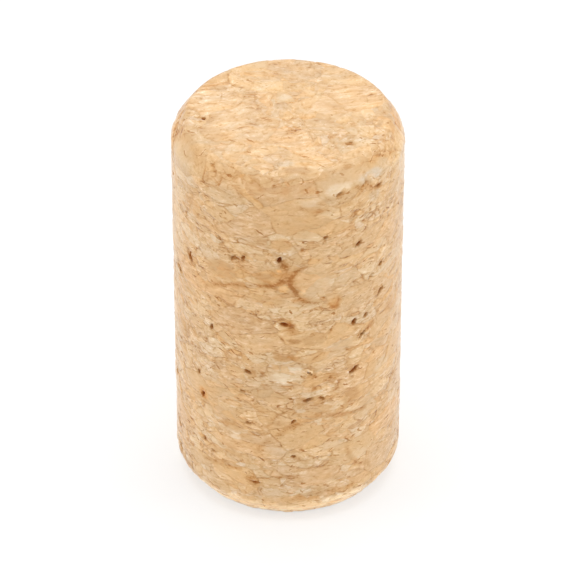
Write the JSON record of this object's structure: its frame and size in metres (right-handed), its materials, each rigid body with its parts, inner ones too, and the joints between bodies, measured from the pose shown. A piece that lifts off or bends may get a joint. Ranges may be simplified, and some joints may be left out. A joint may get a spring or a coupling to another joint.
{
  "type": "cork stopper",
  "caption": "Straight round bottle stopper of pressed cork granules, chamfered at both ends, with small open pits, standing on its end face.",
  "frame": {"origin": "middle of the lower end face", "axes": "+Z along the stopper's axis, from the lower end face to the upper one; the side that faces -Y is the one that the picture shows"},
  "size_m": [0.024, 0.024, 0.044],
  "materials": {
    "cork": "matte"
  },
  "bodies": {
    "root": {"stopper": "cork"}
  },
  "joints": []
}
